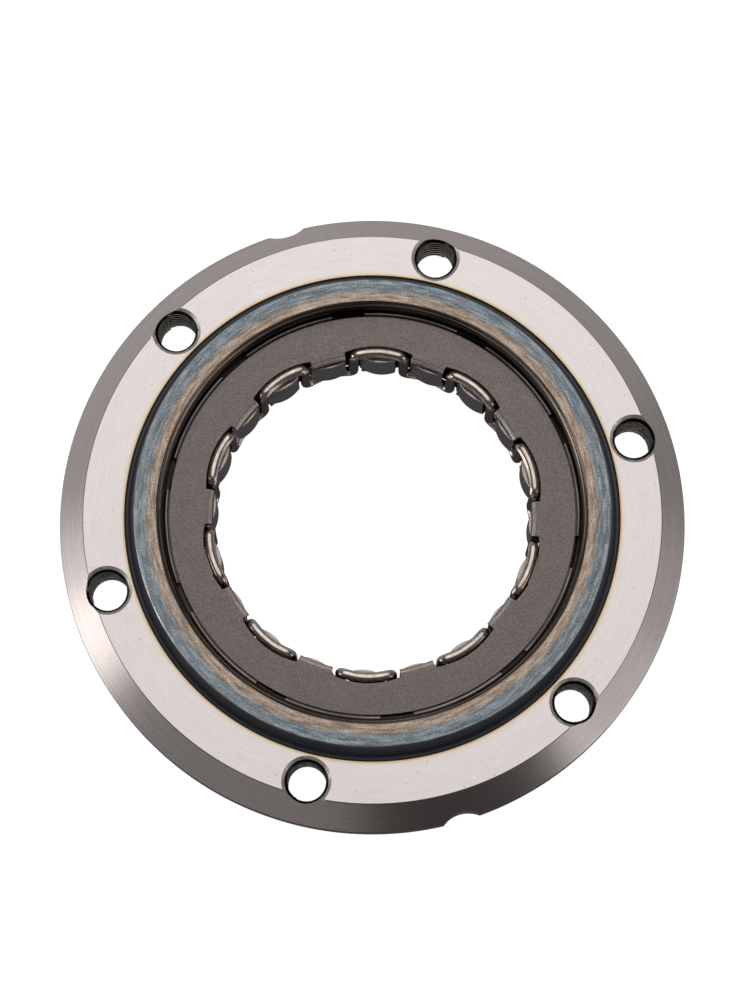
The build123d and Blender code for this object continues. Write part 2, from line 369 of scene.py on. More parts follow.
class Axes:
    """What the finishes follow on a piece: place, distance from the axis, height and angle."""

    def __init__(self, tree: Tree) -> None:
        """Build the nodes that give a point its place, radius, height and angle.

        Args:
            tree: the material's node tree.
        """
        self.tree = tree
        self.place = add_node(tree, "TexCoord").outputs["Object"]
        split = add_node(tree, "SeparateXYZ", {0: self.place})
        x, y, z = (split.outputs[number] for number in range(3))
        flat = add_node(tree, "CombineXYZ", {0: x, 1: y}).outputs[0]
        self.radius = add_node(tree, "VectorMath", {0: flat}, operation="LENGTH").outputs["Value"]
        self.height = z
        self.angle = add_node(tree, "Math", {0: y, 1: x}, operation="ARCTAN2").outputs[0]

    def rings(self, spacing: float, length: float) -> Socket:
        """Return a noise drawn out round the axis, as a turning tool leaves it.

        Args:
            spacing: the grooves' spacing in millimetres, across them.
            length: how far a groove keeps its tone, in degrees.

        Returns:
            A value around one half.
        """
        scales = (
            (self.radius, 1 / mm(spacing)),
            (self.angle, 1 / math.radians(length)),
            (self.height, 1 / mm(spacing)),
        )
        stretched = {}
        for number, (value, scale) in enumerate(scales):
            node = add_node(self.tree, "Math", {0: value, 1: scale}, operation="MULTIPLY")
            stretched[number] = node.outputs[0]
        place = add_node(self.tree, "CombineXYZ", stretched).outputs[0]
        noise = add_node(self.tree, "TexNoise", {"Vector": place, "Scale": 1.0, "Detail": 3.0})
        return noise.outputs["Fac"]

    def grain(self, size: float) -> Socket:
        """Return an even noise whose grains have a size in millimetres."""
        look = {"Vector": self.place, "Scale": 1 / mm(size), "Detail": 4.0, "Roughness": 0.6}
        return add_node(self.tree, "TexNoise", look).outputs["Fac"]

    def spots(self, spacing: float, size: float) -> Socket:
        """Return one at scattered small spots and nought between them.

        Args:
            spacing: the mean distance between spots in millimetres.
            size: a spot's radius as a share of the spacing.

        Returns:
            A mask from nought to one.
        """
        core = 0.6 * size
        cells = add_node(self.tree, "TexVoronoi", {"Vector": self.place, "Scale": 1 / mm(spacing)})
        stops = ((core, "ffffff"), (size, "000000"))
        return add_node(self.tree, "ValToRGB", {0: cells.outputs["Distance"]}, stops).outputs["Color"]

    def scratches(self) -> Socket:
        """Return one on a few thin straight scratches and nought beside them.

        Returns:
            A mask from nought to one.
        """
        length = 3.0
        width = 0.08
        slant = 0.6
        scale = (1 / mm(length), 1 / mm(2 * width), 1 / mm(length))
        turned = add_node(self.tree, "Mapping", {0: self.place, "Rotation": (0, 0, slant), "Scale": scale})
        noise = add_node(self.tree, "TexNoise", {0: turned.outputs[0], "Scale": 1.0, "Detail": 0.0})
        stops = ((0.68, "000000"), (0.74, "ffffff"))
        return add_node(self.tree, "ValToRGB", {0: noise.outputs["Fac"]}, stops).outputs["Color"]

    def toned(self, colour: Socket, value: Socket, spread: float) -> Socket:
        """Lighten and darken a colour by a noise.

        Args:
            colour: the colour socket.
            value: a noise around one half, which seldom leaves 0.35 to 0.65.
            spread: how far the tone goes each way, as a share.

        Returns:
            The toned colour.
        """
        factor = add_node(self.tree, "MapRange", {0: value, 1: 0.35, 2: 0.65, 3: 1 - spread, 4: 1 + spread})
        scaled = add_node(self.tree, "VectorMath", {0: colour, "Scale": factor.outputs[0]}, operation="SCALE")
        return scaled.outputs[0]

    def marked(self, colour: Socket, mask: Socket, share: float, mark: str) -> Socket:
        """Lay marks of another colour over a colour.

        Args:
            colour: the colour socket.
            mask: one on the marks and nought beside them.
            share: how much of the marks' colour shows.
            mark: the marks' hex colour.

        Returns:
            The marked colour.
        """
        shown = add_node(self.tree, "Math", {0: mask, 1: share}, operation="MULTIPLY").outputs[0]
        return add_node(self.tree, "Mix", {0: shown, 6: colour, 7: linear(mark)}, data_type="RGBA").outputs[2]

    def bands(self, value: Socket, low: float, high: float, stops: Stops) -> Socket:
        """Return colours that change along a length.

        Args:
            value: the length's socket, in metres.
            low: where position nought lies, in millimetres.
            high: where position one lies, in millimetres.
            stops: position and hex colour of each stop.

        Returns:
            The colour.
        """
        place = add_node(self.tree, "MapRange", {0: value, 1: mm(low), 2: mm(high)}).outputs[0]
        return add_node(self.tree, "ValToRGB", {0: place}, stops).outputs["Color"]


@dataclass(frozen=True)
class Flecks:
    """Small scattered spots of another tone: pits, grit, polished points, and painted glints."""

    colour: str
    spacing: float
    size: float
    share: float


@dataclass(frozen=True)
class SteelFinish:
    """A bare or treated steel surface, from its colour, polish and tool marks.

    A metal's base colour is what it reflects at right angles, so these stay near the tone that
    the surface shows under an even light. Lengths are millimetres, but a mark's is in degrees.
    """

    name: str
    colour: str
    roughness: float
    metallic: float = 1.0
    anisotropy: float = 0.0
    mark_spacing: float = 0.3
    mark_length: float = 2.0
    mark_depth: float = 0.001
    tone_spread: float = 0.1
    grain_size: float = 0.4
    grain_spread: float = 0.08
    grain_depth: float = 0.0
    scratch_share: float = 0.0
    scratch_colour: str = "efe9e4"
    flecks: tuple[Flecks, ...] = ()
    tint: Callable[[Axes, Socket], Socket] | None = None

    def make(self) -> Material:
        """Build the material.

        Returns:
            The new material.
        """
        material = bpy.data.materials.new(self.name)
        material.use_nodes = True
        tree = material.node_tree
        tree.nodes.clear()
        axes = Axes(tree)
        marks = axes.rings(self.mark_spacing, self.mark_length)
        grain = axes.grain(self.grain_size)
        base = add_node(tree, "RGB")
        base.outputs[0].default_value = linear(self.colour)
        colour = base.outputs[0] if self.tint is None else self.tint(axes, base.outputs[0])
        colour = axes.toned(colour, marks, self.tone_spread)
        colour = axes.toned(colour, grain, self.grain_spread)
        for fleck in self.flecks:
            colour = axes.marked(colour, axes.spots(fleck.spacing, fleck.size), fleck.share, fleck.colour)
        if self.scratch_share > 0:
            colour = axes.marked(colour, axes.scratches(), self.scratch_share, self.scratch_colour)
        relief = {"Strength": 1.0, "Distance": mm(self.mark_depth), "Height": marks}
        bump = add_node(tree, "Bump", relief).outputs[0]
        if self.grain_depth > 0:
            relief = {"Strength": 1.0, "Distance": mm(self.grain_depth), "Height": grain, "Normal": bump}
            bump = add_node(tree, "Bump", relief).outputs[0]
        look = {"Base Color": colour, "Normal": bump, "Metallic": self.metallic, "Roughness": self.roughness}
        if self.anisotropy > 0:
            tangent = add_node(tree, "Tangent", direction_type="RADIAL", axis="Z").outputs[0]
            look |= {"Anisotropic": self.anisotropy, "Tangent": tangent}
        shader = add_node(tree, "BsdfPrincipled", look)
        add_node(tree, "OutputMaterial", {"Surface": shader.outputs[0]})
        return material


def heat_line(axes: Axes, colour: Socket) -> Socket:
    """Add the straw-gold line that hardening leaves where the face meets the hub.

    Args:
        axes: what the finish follows.
        colour: the plain colour.

    Returns:
        The tinted colour.
    """
    stops = ((0.0, "ffffff"), (0.16, "e0e0e0"), (0.3, "707070"), (0.6, "2c2c2c"), (1.0, "000000"))
    share = axes.bands(axes.radius, 45.6, 47.2, stops)
    links = {0: share, 6: colour, 7: linear("d8b981")}
    return add_node(axes.tree, "Mix", links, data_type="RGBA").outputs[2]


def temper_bands(axes: Axes, colour: Socket) -> Socket:
    """Colour the hub's top blue-grey outside and mottled straw inside, as its temper colours run.

    Args:
        axes: what the finish follows.
        colour: the plain colour.

    Returns:
        The tinted colour.
    """
    tree = axes.tree
    mottling = {0: axes.grain(3.0), 1: mm(1.3)}
    wander = add_node(tree, "Math", mottling, operation="MULTIPLY").outputs[0]
    place = add_node(tree, "Math", {0: axes.radius, 1: wander}, operation="ADD").outputs[0]
    stops = (
        (0.0, "857467"),
        (0.12, "aa9788"),
        (0.34, "a39384"),
        (0.44, "928c88"),
        (0.5, "838b91"),
        (0.78, "7b858d"),
        (1.0, "969da1"),
    )
    links = {0: 0.94, 6: colour, 7: axes.bands(place, 39.8, 44.4, stops)}
    tempered = add_node(tree, "Mix", links, data_type="RGBA").outputs[2]
    streaks = axes.rings(0.5, 5.0)
    return axes.toned(tempered, streaks, 0.3)


def shaded_mouth_tones(axes: Axes, colour: Socket) -> Socket:
    """Darken the hub's mouth downwards as painted shade, deepest at its foot, with fine light lines from its
    machining.

    Args:
        axes: what the finish follows.
        colour: the plain colour.

    Returns:
        The tinted colour.
    """
    stops = (
        (0.0, "26221f"),
        (0.3, "3a3430"),
        (0.34, "8a8078"),
        (0.38, "2e2926"),
        (0.6, "38322e"),
        (0.7, "746a62"),
        (0.76, "3c3632"),
        (0.84, "3c3632"),
        (0.88, "b0a498"),
        (0.92, "4a423c"),
        (1.0, "7a6e64"),
    )
    # Mostly painted shade, darkest at the bottom of the mouth
    links = {0: 0.85, 6: colour, 7: axes.bands(axes.height, 10.9, 15.65, stops)}
    return add_node(axes.tree, "Mix", links, data_type="RGBA").outputs[2]


GROUND_STEEL = SteelFinish(
    # Case-hardened steel, ground flat: pale, softly bright, with fine arcs and small dark pits
    name="ground_hardened_steel",
    colour="e9e1e0",
    roughness=0.34,
    anisotropy=0.3,
    mark_length=6.0,
    mark_depth=0.0008,
    tone_spread=0.03,
    grain_size=0.5,
    grain_spread=0.025,
    flecks=(Flecks("7a716b", 2.1, 0.07, 0.7), Flecks("a0978f", 0.9, 0.09, 0.35)),
    tint=heat_line,
)
TURNED_STEEL = SteelFinish(
    # Finish-turned steel: even grooves round the axis that draw its glints out across them
    name="turned_steel",
    colour="aba3a1",
    roughness=0.23,
    anisotropy=0.7,
    mark_spacing=0.22,
    mark_length=40.0,
    mark_depth=0.0012,
    tone_spread=0.08,
    grain_size=0.35,
    grain_spread=0.06,
    flecks=(Flecks("6a625e", 1.4, 0.1, 0.4),),
)
TEMPERED_WALL = SteelFinish(
    # Hardened steel left as tempered: slate-black scale with a dull shine
    name="slate_hub_wall",
    colour="484b52",
    roughness=0.5,
    metallic=0.5,
    anisotropy=0.4,
    mark_length=30.0,
    mark_depth=0.002,
    tone_spread=0.15,
)
TEMPERED_TOP = SteelFinish(
    # Turned after hardening, then tempered: temper colours, streaks round the axis, light and dark specks
    name="tempered_hub_top",
    colour="93958f",
    roughness=0.36,
    anisotropy=0.2,
    mark_spacing=0.22,
    mark_length=4.0,
    mark_depth=0.003,
    tone_spread=0.22,
    grain_size=0.3,
    grain_spread=0.28,
    flecks=(Flecks("e4e6e4", 0.9, 0.13, 0.6), Flecks("3c3834", 0.8, 0.14, 0.6)),
    tint=temper_bands,
)
HUB_MOUTH = SteelFinish(
    # Bored after hardening, with the rings of the boring bar; painted shade makes it near black, deepest at
    # the bottom
    name="bored_hub_mouth",
    colour="6a625c",
    roughness=0.35,
    anisotropy=0.5,
    mark_spacing=0.25,
    mark_length=25.0,
    mark_depth=0.006,
    tone_spread=0.9,
    grain_spread=0.15,
    tint=shaded_mouth_tones,
)
COUNTERSUNK_STEEL = SteelFinish(
    # Countersunk before hardening: a light grey ring, left by a turning cutter, with bright flecks painted on
    # as glints
    name="countersunk_steel",
    colour="d6d0cc",
    roughness=0.45,
    metallic=0.8,
    mark_length=3.0,
    mark_depth=0.002,
    tone_spread=0.15,
    grain_spread=0.15,
    # The second, bright flecks are painted glints
    flecks=(Flecks("4a4440", 0.8, 0.14, 0.6), Flecks("fffaf5", 1.7, 0.3, 0.9)),
)
THREAD_CREST = SteelFinish(
    # A thread's crests, painted light as a highlight along each turn
    name="highlight_thread_crest",
    colour="f2eae2",
    roughness=0.5,
    metallic=0.35,
    mark_depth=0.003,
    tone_spread=0.3,
    grain_spread=0.2,
)
TAPPED_HOLE = SteelFinish(
    # Drilled and tapped in the soft, then hardened: painted dark as shade inside the hole, between the crests
    # of its thread that carry a painted highlight
    name="tapped_steel",
    colour="2e2a27",
    roughness=0.3,
    mark_depth=0.003,
    tone_spread=0.3,
    grain_spread=0.2,
)
PHOSPHATED_SHEET = SteelFinish(
    # Pressed sheet, hardened and phosphated: dark warm grey, matt, finely grained and lightly scratched
    name="phosphated_cage_sheet",
    colour="7f7673",
    roughness=0.44,
    mark_spacing=2.5,
    mark_length=12.0,
    tone_spread=0.03,
    grain_size=0.28,
    grain_spread=0.26,
    grain_depth=0.004,
    scratch_share=0.05,
    flecks=(Flecks("b5aca6", 0.8, 0.14, 0.3), Flecks("3f3a37", 0.8, 0.15, 0.5)),
)
BEND_HIGHLIGHT_SHEET = SteelFinish(
    # The same sheet, painted lighter along the tabs' bends as a painted highlight
    name="bend_highlight_cage_sheet",
    colour="c6bcb4",
    roughness=0.45,
    metallic=0.75,
    mark_spacing=0.6,
    mark_length=5.0,
    tone_spread=0.15,
    grain_size=0.3,
    grain_spread=0.2,
)
RUBBED_BEAD = SteelFinish(
    # The wall's rolled bead, whose phosphate is worn thin on its crest
    name="rubbed_cage_bead",
    colour="807873",
    roughness=0.35,
    mark_spacing=0.4,
    mark_length=12.0,
    mark_depth=0.002,
    tone_spread=0.4,
)
BRIGHT_WIRE = SteelFinish(
    # Hard-drawn spring wire: polished by its die, with a clear bright line along it
    name="drawn_spring_wire",
    colour="d6c9bf",
    roughness=0.22,
    mark_spacing=0.8,
    mark_length=3.0,
    tone_spread=0.22,
    grain_size=0.3,
    grain_spread=0.1,
)
SHADED_WIRE_LEG = SteelFinish(
    # The wire's upright legs, painted darker brown than the loops as painted shade
    name="shaded_spring_leg",
    colour="877a70",
    roughness=0.3,
    mark_spacing=0.4,
    tone_spread=0.25,
    grain_spread=0.3,
)
SPRAG_FACE = SteelFinish(
    # Bearing steel, drawn to shape and tumbled: dark violet grey with a low shine
    name="tumbled_sprag_steel",
    colour="bab4be",
    roughness=0.3,
    mark_spacing=0.5,
    mark_depth=0.002,
    grain_size=0.3,
    grain_spread=0.12,
    grain_depth=0.002,
)
SPRAG_END = SteelFinish(
    # The sprag's cut end, lapped flat: mirrors the dark wire and tabs above it
    name="lapped_sprag_end",
    colour="a39d9b",
    roughness=0.13,
    mark_spacing=0.5,
    mark_length=4.0,
    grain_size=0.25,
    grain_spread=0.12,
)
SPRAG_EDGE = SteelFinish(
    # The sprag's rounded edges, painted light as a highlight line along them
    name="highlight_sprag_edge",
    colour="eadbd0",
    roughness=0.5,
    mark_spacing=0.5,
)


# Sub-assemblies


@dataclass
class Housing:
    """The outer race: flange, cone, hub, counterbore, track and six tapped holes."""

    flange_radius: float = 58.0
    flange_thickness: float = 11.3
    rim_top: float = 6.3
    back_chamfer: float = 2.5
    face_outer_radius: float = 53.25
    face_inner_radius: float = 45.65
    foot_radius: float = 44.6
    relief_depth: float = 0.5
    relief_steps: int = 6
    hub_top_radius: float = 43.55
    hub_top_height: float = 15.65
    hub_edge: float = 0.2
    mouth_radius: float = 39.315
    mouth_depth: float = 1.15
    counterbore_radius: float = 38.315
    counterbore_height: float = 10.9
    track_radius: float = 37.215
    track_chamfer: float = 0.6
    edge_round: float = 0.12
    bolt_circle_radius: float = 50.5
    bolt_count: int = 6
    bolt_angle: float = 16.4
    bolt_steps: int = 64
    thread_root_radius: float = 4.0
    thread_core_radius: float = 3.5
    thread_pitch: float = 1.25
    thread_start: float = 1.0
    thread_steps: int = 32
    mouth_flare_radius: float = 4.55
    scallop_angle: float = 106.4
    scallop_radius: float = 5.2
    scallop_depth: float = 1.4
    scallop_count: int = 2
    scallop_steps: int = 96

    def outline(self) -> list[Point]:
        """Lay out the half section.

        Returns:
            Its corners, counter-clockwise.
        """
        soft = self.edge_round
        # The cone falls at about 45 degrees, so a rounding reaches 0.7 of its length down and out
        down_cone = 0.7 * soft
        middle = (self.foot_radius + self.face_inner_radius) / 2
        half = (self.face_inner_radius - self.foot_radius) / 2
        level = self.flange_thickness
        return [
            (self.hub_top_radius, self.hub_top_height - self.hub_edge),
            *arc((middle, level), half, 180.0, 360.0, self.relief_steps, self.relief_depth),
            (self.face_outer_radius - soft, level),
            (self.face_outer_radius + down_cone, level - down_cone),
            (self.flange_radius - soft, self.rim_top + soft),
            (self.flange_radius, self.rim_top - soft),
            (self.flange_radius, self.back_chamfer + soft),
            (self.flange_radius - soft, self.back_chamfer - soft),
            (self.flange_radius - self.back_chamfer, 0),
            (self.track_radius + self.track_chamfer, 0),
            (self.track_radius, self.track_chamfer),
            (self.track_radius, self.counterbore_height),
            (self.counterbore_radius, self.counterbore_height),
            (self.counterbore_radius, self.hub_top_height - self.mouth_depth),
            (self.mouth_radius - soft, self.hub_top_height - soft),
            (self.mouth_radius + soft, self.hub_top_height),
            (self.hub_top_radius - self.hub_edge, self.hub_top_height),
        ]

    def turn_body(self) -> Piece:
        """Turn the half section about the axis, then drill and scallop it.

        Returns:
            The housing's body.
        """
        body = draw_outline("housing_body", section(self.outline()))
        spin(FULL_TURN, RING_STEPS)
        weld()
        cut(body, self.hole_cutter())
        cut(body, self.scallop_cutter())
        finish_mesh(body)
        return body

    def hole_cutter(self) -> Piece:
        """Turn the six drills, each flared at both of the flange's faces.

        Returns:
            One object with all six, in edit mode.
        """
        flare = self.mouth_flare_radius - self.thread_root_radius
        top = self.flange_thickness
        over = 1.0
        side = [
            (0.0, -over),
            (self.mouth_flare_radius + over, -over),
            (self.thread_root_radius, flare),
            (self.thread_root_radius, top - flare),
            (self.mouth_flare_radius + over, top + over),
            (0.0, top + over),
        ]
        drill = draw_outline("drill", section(side))
        spin(FULL_TURN, self.bolt_steps)
        weld()
        bpy.ops.transform.translate(value=on_circle(self.bolt_circle_radius, self.bolt_angle))
        repeat_around(self.bolt_count)
        return drill

    def scallop_cutter(self) -> Piece:
        """Stand up the two cutters of the rim's scallops.

        Returns:
            One object with both, in edit mode.
        """
        deselect()
        centre = self.flange_radius - self.scallop_depth + self.scallop_radius
        bpy.ops.mesh.primitive_cylinder_add(
            vertices=self.scallop_steps,
            radius=mm(self.scallop_radius),
            depth=mm(3 * self.flange_thickness),
            location=on_circle(centre, self.scallop_angle),
        )
        cutter = bpy.context.object
        bpy.ops.object.transform_apply(location=True)
        bpy.ops.object.mode_set(mode="EDIT")
        repeat_around(self.scallop_count)
        return cutter

    def cut_threads(self) -> Piece:
        """Wind the ridges of the six threads inside their holes.

        Returns:
            One object with all six threads.
        """
        crest = self.thread_pitch / 3
        middle = self.thread_start + self.thread_pitch / 2
        buried = 0.03
        between = 0.02
        ridge = [
            (self.thread_root_radius + buried, self.thread_start),
            (self.thread_core_radius, middle - crest / 2),
            (self.thread_core_radius, middle + crest / 2),
            (self.thread_root_radius + buried, self.thread_start + self.thread_pitch - between),
        ]
        threads = draw_outline("bolt_threads", section(ridge))
        apply_modifier(
            threads,
            "SCREW",
            axis="Z",
            angle=math.radians(FULL_TURN),
            screw_offset=mm(self.thread_pitch),
            iterations=int((self.flange_thickness - 2 * self.thread_start) / self.thread_pitch),
            steps=self.thread_steps,
            render_steps=self.thread_steps,
        )
        bpy.ops.object.mode_set(mode="EDIT")
        bpy.ops.mesh.select_all(action="SELECT")
        bpy.ops.mesh.fill_holes(sides=0)
        weld(2 * FINE_WELD)
        bpy.ops.transform.translate(value=on_circle(self.bolt_circle_radius, self.bolt_angle))
        self.trim_to_cone()
        repeat_around(self.bolt_count)
        finish_mesh(threads)
        return threads

    def trim_to_cone(self) -> None:
        """Cut off what stands over the cone beside the first hole, in edit mode."""
        run = self.flange_radius - self.face_outer_radius
        drop = self.flange_thickness - self.rim_top
        below = 0.1
        bpy.ops.mesh.select_all(action="SELECT")
        bpy.ops.mesh.bisect(
            plane_co=on_circle(self.face_outer_radius - below, self.bolt_angle, self.flange_thickness),
            plane_no=on_circle(drop, self.bolt_angle, run).normalized(),
            use_fill=True,
            clear_outer=True,
        )

    def off_hole(self, centre: Vector) -> float:
        """Measure how far a point lies from the axis of the nearest hole.

        Args:
            centre: the point, in metres.

        Returns:
            The distance in millimetres.
        """
        pitch = FULL_TURN / self.bolt_count
        angles = [self.bolt_angle + number * pitch for number in range(self.bolt_count)]
        holes = [on_circle(self.bolt_circle_radius, angle) for angle in angles]
        return to_mm(min((centre.xy - hole.xy).length for hole in holes))

    def choose_thread_finish(self, centre: Vector, normal: Vector) -> ThreadPart:
        """Tell a thread's crest, painted as a highlight, from its flanks.

        Args:
            centre: the face's centre, in metres.
            normal: its direction.

        Returns:
            The part that the face belongs to.
        """
        upright = abs(normal.z) < 0.2
        at_core = self.off_hole(centre) < self.thread_core_radius + 0.05
        return ThreadPart.CREST if upright and at_core else ThreadPart.FLANK

    def choose_finish(self, centre: Vector, normal: Vector) -> HousingPart:
        """Tell which differently finished part a face belongs to.

        Args:
            centre: the face's centre, in metres.
            normal: its direction.

        Returns:
            The part.
        """
        radius = to_mm(math.hypot(centre.x, centre.y))
        height = to_mm(centre.z)
        off_hole = self.off_hole(centre)
        flat = abs(normal.z) > 0.95
        facing_up = normal.z > 0.3
        beside_flare = 0.3
        beside_thread = 0.02
        beside_track = 0.1
        under_step = 0.01
        if off_hole < self.mouth_flare_radius + beside_flare and not flat:
            in_thread = off_hole < self.thread_root_radius + beside_thread
            return HousingPart.HOLE if in_thread else HousingPart.COUNTERSINK
        if height > self.hub_top_height - self.hub_edge and facing_up and radius > self.mouth_radius:
            return HousingPart.HUB_TOP
        if radius < self.mouth_radius + self.edge_round and height > self.counterbore_height - under_step:
            return HousingPart.MOUTH
        if radius < self.track_radius + beside_track:
            return HousingPart.FACE
        if radius < self.face_inner_radius and height > self.flange_thickness - self.relief_depth:
            return HousingPart.HUB_WALL
        return HousingPart.FACE if flat else HousingPart.TURNED

    def build(self) -> list[Piece]:
        """Build and dress the housing.

        Returns:
            Its pieces.
        """
        body = self.turn_body()
        kinds = {
            HousingPart.FACE: GROUND_STEEL,
            HousingPart.TURNED: TURNED_STEEL,
            HousingPart.HUB_WALL: TEMPERED_WALL,
            HousingPart.HUB_TOP: TEMPERED_TOP,
            HousingPart.MOUTH: HUB_MOUTH,
            HousingPart.COUNTERSINK: COUNTERSUNK_STEEL,
            HousingPart.HOLE: TAPPED_HOLE,
        }
        finishes = [kinds[part].make() for part in HousingPart]
        dress(body, finishes, self.choose_finish)
        threads = self.cut_threads()
        dress(threads, [finishes[HousingPart.HOLE], THREAD_CREST.make()], self.choose_thread_finish)
        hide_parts("housing")
        for piece in (body, threads):
            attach(piece, "housing")
        return [body, threads]


@dataclass
class Cage:
    """The sheet cage: a beaded outer wall and the front and rear rings with their tabs."""

    first_loop_angle: float = FIRST_LOOP_ANGLE
    loop_count: int = LOOP_COUNT
    sprag_count: int = SPRAG_COUNT
    plate_base: float = 11.6
    plate_top: float = 12.4
    plate_outer_radius: float = 37.35
    bow_centre_radius: float = 16.45
    notch_bow_radius: float = 15.07
    notch_steps: int = 26
    tab_face_radius: float = 29.25
    tab_bend_radius: float = 1.15
    bend_steps: int = 10
    tab_foot: float = 11.05
    tab_foot_round: float = 0.08
    tab_span: float = 12.2
    tab_steps: int = 14
    bead_outer_radius: float = 38.165
    bead_inner_radius: float = 37.565
    bead_proud: float = 0.15
    bead_steps: int = 9
    flange_base: float = 10.95
    flange_top: float = 11.55
    flange_chamfer: float = 0.3
    wall_outer_radius: float = 36.915
    wall_inner_radius: float = 36.115
    lip_radius: float = 34.815
    lip_base: float = 0.4
    lip_top: float = 0.95
    lip_chamfer: float = 0.4
    rear_base: float = 1.0
    rear_top: float = 1.8
    rear_outer_radius: float = 36.065
    rear_tab_radius: float = 29.8
    rear_round: float = 0.1
    window_width: float = 6.9
    window_base: float = 1.85
    window_top: float = 11.05
    gap_width: float = 6.1
    edge_round: float = 0.15

    @property
    def sprag_pitch(self) -> float:
        """Degrees from one sprag to the next."""
        return FULL_TURN / self.sprag_count

    @property
    def plate_inner_radius(self) -> float:
        """The radius of a notch's corners, where the tabs begin."""
        return self.notch_radius(self.sprag_pitch - self.tab_span / 2)

    @property
    def bead_middle(self) -> float:
        """The radius of the bead's crest."""
        return (self.bead_outer_radius + self.bead_inner_radius) / 2

    def notch_radius(self, off_middle: float) -> float:
        """Return how far a notch, bowed like the loop in it, lies from the axis.

        Args:
            off_middle: the angle from the notch's middle, in degrees.

        Returns:
            The radius in millimetres.
        """
        turn = math.radians(off_middle)
        across = self.bow_centre_radius * math.sin(turn)
        return self.bow_centre_radius * math.cos(turn) + math.sqrt(self.notch_bow_radius**2 - across**2)

    def bow_notches(self, ring: Piece, first_tab: float) -> None:
        """Push the inner edge between the tabs outwards, to the bow of the wire's loops.

        Args:
            ring: the ring, in edit mode.
            first_tab: where the first tab's middle stands, in degrees.
        """
        pitch = 2 * self.sprag_pitch
        off_corner = 0.01
        half_notch = self.sprag_pitch - self.tab_span / 2 - off_corner
        shape = bmesh.from_edit_mesh(ring.data)
        for vertex in shape.verts:
            radius = to_mm(vertex.co.xy.length)
            angle = math.degrees(math.atan2(vertex.co.y, vertex.co.x)) - first_tab - self.sprag_pitch
            off_middle = abs((angle + self.sprag_pitch) % pitch - self.sprag_pitch)
            if off_middle < half_notch and radius < self.plate_inner_radius + 2 * self.edge_round:
                moved = (radius + self.notch_radius(off_middle) - self.plate_inner_radius) / radius
                vertex.co.xy = vertex.co.xy * moved
        bmesh.update_edit_mesh(ring.data)

    def tabbed_ring(
        self, name: str, plain: Sequence[Point], tabbed: Sequence[Point], tab_angle: float
    ) -> Piece:
        """Model a ring with ten tabs by spinning a plain and a tabbed section in turn.

        Args:
            name: the piece's name.
            plain: the section between tabs, whose first and last points are on both sections.
            tabbed: the section through a tab.
            tab_angle: where the first tab's middle stands, in degrees.

        Returns:
            The ring, out of edit mode.
        """
        ring = draw_outline(name, section(tabbed, tab_angle - self.tab_span / 2))
        spin(self.tab_span, self.tab_steps)
        rest = draw_outline(name + "_between", section(plain, tab_angle + self.tab_span / 2))
        spin(2 * self.sprag_pitch - self.tab_span, self.notch_steps)
        select_only(ring, rest)
        bpy.ops.object.join()
        bpy.ops.object.mode_set(mode="EDIT")
        repeat_around(self.loop_count)
        bpy.ops.mesh.fill_holes(sides=0)
        weld()
        self.bow_notches(ring, tab_angle)
        pick_edges(ring, self.is_tab_side)
        round_edges(self.edge_round, clamp_overlap=True)
        weld(FINE_WELD)
        finish_mesh(ring, smooth_angle=40.0)
        return ring

    @staticmethod
    def is_tab_side(edge: bmesh.types.BMEdge) -> bool:
        """Tell whether an edge bounds the flat side of a tab, whose face has many corners.

        Args:
            edge: an edge of the ring.

        Returns:
            Whether it does, and isn't too short to be rounded.
        """
        shortest = 0.05
        sides = [len(face.verts) > 4 for face in edge.link_faces]
        return len(sides) == 2 and sides[0] != sides[1] and edge.calc_length() > mm(shortest)

    def front_ring(self) -> Piece:
        """Model the front ring, whose tabs are bent down over every second sprag.

        Returns:
            The ring.
        """
        soft = self.edge_round
        # The middle of a rounded corner lies 0.3 of its radius in from both sides
        corner = 0.3 * soft
        thickness = self.plate_top - self.plate_base
        shared_radius = self.plate_inner_radius + soft
        outer = [
            (shared_radius, self.plate_base),
            (self.plate_outer_radius, self.plate_base),
            (self.plate_outer_radius, self.plate_top - soft),
            (self.plate_outer_radius - corner, self.plate_top - corner),
            (self.plate_outer_radius - soft, self.plate_top),
            (shared_radius, self.plate_top),
        ]
        plain = outer + [
            (self.plate_inner_radius + corner, self.plate_top - corner),
            (self.plate_inner_radius, self.plate_top - soft),
            (self.plate_inner_radius, self.plate_base + soft),
        ]
        bend_centre = (self.tab_face_radius + self.tab_bend_radius, self.plate_top - self.tab_bend_radius)
        outer_bend = arc(bend_centre, self.tab_bend_radius, 90.0, 180.0, self.bend_steps)
        inner_bend = arc(bend_centre, self.tab_bend_radius - thickness, 180.0, 90.0, self.bend_steps // 2)
        foot = [
            (self.tab_face_radius + self.tab_foot_round, self.tab_foot),
            (self.tab_face_radius + thickness, self.tab_foot),
        ]
        tabbed = outer + outer_bend + foot + inner_bend
        return self.tabbed_ring("cage_front_ring", plain, tabbed, self.first_loop_angle + self.sprag_pitch)

    def rear_ring(self) -> Piece:
        """Model the rear ring, whose flat tabs reach under the other sprags.

        Returns:
            The ring.
        """
        soft = self.rear_round
        shared_radius = self.plate_inner_radius + soft
        outer = [
            (shared_radius, self.rear_base),
            (self.rear_outer_radius, self.rear_base),
            (self.rear_outer_radius, self.rear_top),
            (shared_radius, self.rear_top),
        ]
        plain = outer + [
            (self.plate_inner_radius, self.rear_top - soft),
            (self.plate_inner_radius, self.rear_base + soft),
        ]
        tabbed = outer + [
            (self.rear_tab_radius + soft, self.rear_top),
            (self.rear_tab_radius, self.rear_top - soft),
            (self.rear_tab_radius, self.rear_base + soft),
            (self.rear_tab_radius + soft, self.rear_base),
        ]
        return self.tabbed_ring("cage_rear_ring", plain, tabbed, self.first_loop_angle)

